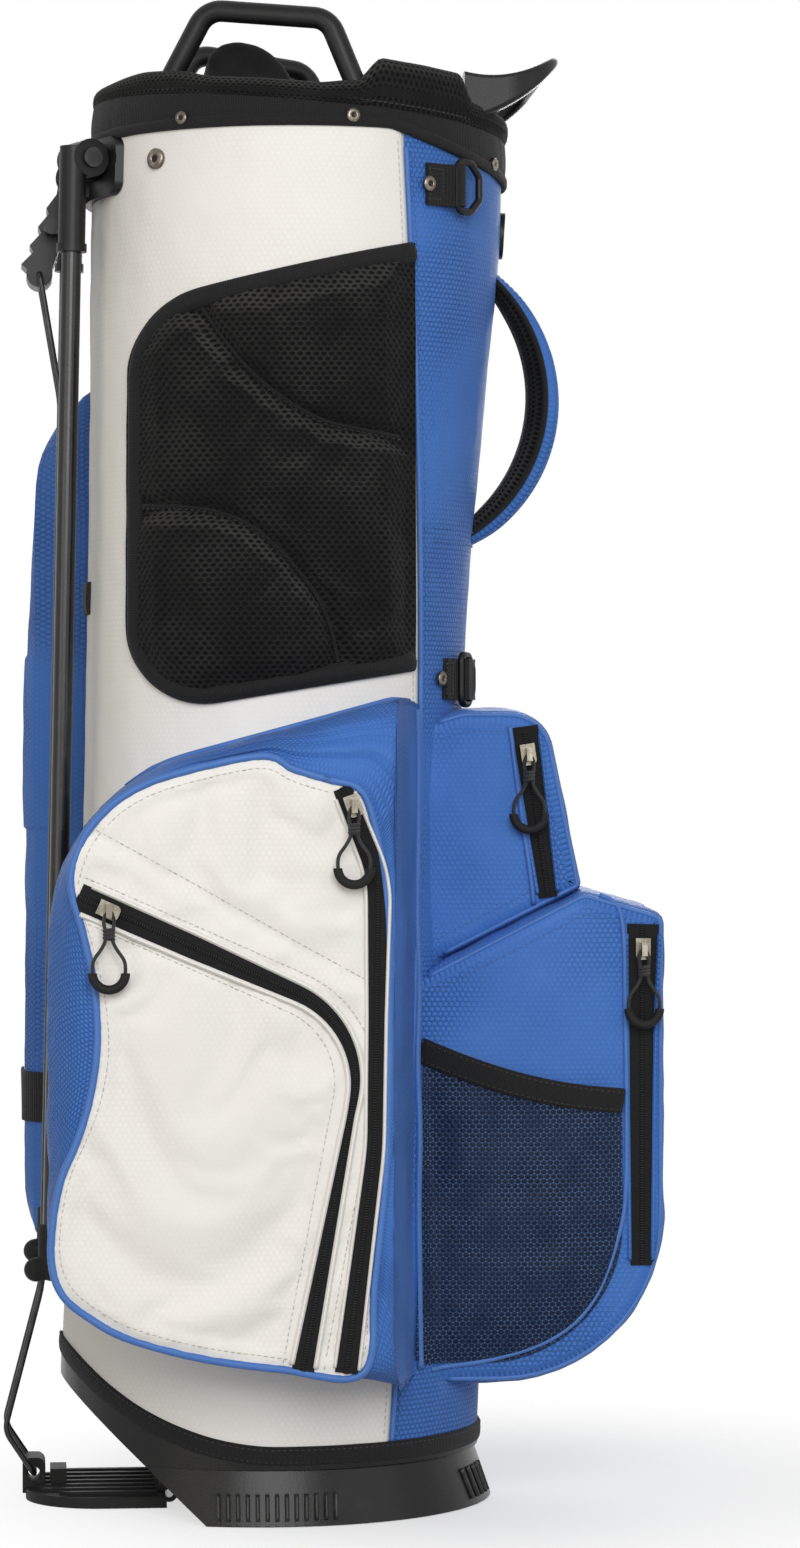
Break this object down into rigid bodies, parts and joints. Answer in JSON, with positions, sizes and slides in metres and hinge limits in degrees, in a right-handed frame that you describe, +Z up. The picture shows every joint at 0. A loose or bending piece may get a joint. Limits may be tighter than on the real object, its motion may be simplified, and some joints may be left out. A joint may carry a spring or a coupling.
{
  "type": "golf stand bag",
  "caption": "Oval golf stand bag with zipped cloth pockets, moulded collar with handles, and fold-out legs worked by a foot pedal.",
  "frame": {"origin": "on the floor under the tube, on the flat bottom of the boot", "axes": "+Z up along the bag, +X towards the ball pocket, legs on the -X side"},
  "size_m": [0.4006, 0.381, 0.9095],
  "materials": {
    "blue_cloth": "embossed polyester",
    "white_cloth": "embossed polyester",
    "black_cloth": "woven binding",
    "black_mesh": "spacer mesh",
    "net": "open net",
    "zip_black": "coil zip tape",
    "cord_black": "woven cord",
    "moulded_black": "satin moulded",
    "stay_rod": "pultruded",
    "rubber": "matt",
    "leg_black": "black anodised",
    "wire_black": "black coated",
    "steel": "plain",
    "nickel": "antique nickel"
  },
  "bodies": {
    "bag": {"front_panel": "blue_cloth", "side_panel_near": "white_cloth", "side_panel_far": "white_cloth", "base_boot": "moulded_black", "base_trim": "black_cloth", "collar": "moulded_black", "collar_pad": "black_mesh", "collar_band": "black_cloth", "club_divider": "black_cloth", "support_stays": "stay_rod", "hip_pad": "black_mesh", "hip_binding": "black_cloth", "apparel_pocket_near": "blue_cloth", "apparel_panel_near": "white_cloth", "apparel_pocket_far": "blue_cloth", "far_pocket_band": "black_cloth", "accessory_pocket": "blue_cloth", "ball_pocket": "blue_cloth", "mesh_pouch": "net", "mesh_binding": "black_cloth", "grab_handle": "blue_cloth", "strap_tab_top": "black_cloth", "strap_tab_mid": "black_cloth", "rivets": "nickel", "front_badge": "rubber", "leg_rest": "rubber", "zip_tape_main": "zip_black", "zip_tape_side": "zip_black", "zip_tape_accessory": "zip_black", "zip_tape_ball": "zip_black", "stand_bracket": "moulded_black", "leg_pins": "steel", "yoke_pin": "steel", "pedal_pin": "steel"},
    "leg_near": {"leg_head_near": "moulded_black", "leg_tube_near": "leg_black", "leg_foot_near": "rubber"},
    "leg_far": {"leg_head_far": "moulded_black", "leg_tube_far": "leg_black", "leg_foot_far": "rubber"},
    "yoke": {"yoke": "moulded_black"},
    "wire": {"actuator_wire": "wire_black"},
    "pedal": {"pedal": "moulded_black"},
    "d_ring_top": {"d_ring_top": "moulded_black"},
    "d_ring_mid": {"d_ring_mid": "moulded_black"},
    "slider_main": {"zip_slider_main": "nickel"},
    "pull_main": {"pull_cord_main": "cord_black", "pull_grip_main": "rubber"},
    "slider_side": {"zip_slider_side": "nickel"},
    "pull_side": {"pull_cord_side": "cord_black", "pull_grip_side": "rubber"},
    "slider_accessory": {"zip_slider_accessory": "nickel"},
    "pull_accessory": {"pull_cord_accessory": "cord_black", "pull_grip_accessory": "rubber"},
    "slider_ball": {"zip_slider_ball": "nickel"},
    "pull_ball": {"pull_cord_ball": "cord_black", "pull_grip_ball": "rubber"}
  },
  "joints": [
    {"name": "leg_near_hinge", "type": "hinge", "parent": "bag", "child": "leg_near", "pos_m": [-0.11484, -0.05, 0.818], "axis": [-0.4226, 0.9063, 0], "range_deg": [0, 28]},
    {"name": "leg_far_hinge", "type": "hinge", "parent": "bag", "child": "leg_far", "pos_m": [-0.11484, 0.05, 0.818], "axis": [0.4226, 0.9063, 0], "range_deg": [0, 28]},
    {"name": "yoke_hinge", "type": "hinge", "parent": "bag", "child": "yoke", "pos_m": [-0.12369, 0, 0.806], "axis": [0, 1, 0], "range_deg": [0, 40]},
    {"name": "wire_hinge", "type": "hinge", "parent": "yoke", "child": "wire", "pos_m": [-0.14269, 0, 0.752], "axis": [0, 1, 0], "range_deg": [-43, 0]},
    {"name": "pedal_hinge", "type": "hinge", "parent": "bag", "child": "pedal", "pos_m": [-0.064, 0, 0.0062], "axis": [0, 1, 0], "range_deg": [0, 18.5]},
    {"name": "d_ring_top_swing", "type": "hinge", "parent": "bag", "child": "d_ring_top", "pos_m": [0.10785, -0.0901, 0.799], "axis": [0, 0, -1], "range_deg": [0, 115]},
    {"name": "d_ring_mid_swing", "type": "hinge", "parent": "bag", "child": "d_ring_mid", "pos_m": [0.11421, -0.04863, 0.503], "axis": [0, 0, -1], "range_deg": [0, 115]},
    {"name": "slider_main_travel", "type": "slide", "parent": "bag", "child": "slider_main", "axis": [0.9143, 0, -0.4051], "range_m": [0, 0.105]},
    {"name": "pull_main_swing", "type": "hinge", "parent": "slider_main", "child": "pull_main", "pos_m": [-0.104, -0.1938, 0.3664], "axis": [-1, 0, 0], "range_deg": [0, 120]},
    {"name": "slider_side_travel", "type": "slide", "parent": "bag", "child": "slider_side", "axis": [0.3322, 0, -0.9432], "range_m": [0, 0.022]},
    {"name": "pull_side_swing", "type": "hinge", "parent": "slider_side", "child": "pull_side", "pos_m": [0.0373, -0.1938, 0.4266], "axis": [-1, 0, 0], "range_deg": [0, 120]},
    {"name": "slider_accessory_travel", "type": "slide", "parent": "bag", "child": "slider_accessory", "axis": [0.1426, 0, -0.9898], "range_m": [0, 0.04]},
    {"name": "pull_accessory_swing", "type": "hinge", "parent": "slider_accessory", "child": "pull_accessory", "pos_m": [0.1529, -0.0748, 0.4568], "axis": [-1, 0, 0], "range_deg": [0, 120]},
    {"name": "slider_ball_travel", "type": "slide", "parent": "bag", "child": "slider_ball", "axis": [0, 0, -1], "range_m": [0, 0.178]},
    {"name": "pull_ball_swing", "type": "hinge", "parent": "slider_ball", "child": "pull_ball", "pos_m": [0.2215, -0.0868, 0.339], "axis": [-1, 0, 0], "range_deg": [0, 120]}
  ],
  "couplings": [
    {"joint": "leg_far_hinge", "follows": "leg_near_hinge", "ratio": 1},
    {"joint": "yoke_hinge", "follows": "leg_near_hinge", "ratio": 1.4285},
    {"joint": "wire_hinge", "follows": "leg_near_hinge", "ratio": -1.5332},
    {"joint": "pedal_hinge", "follows": "leg_near_hinge", "ratio": 0.6607}
  ]
}
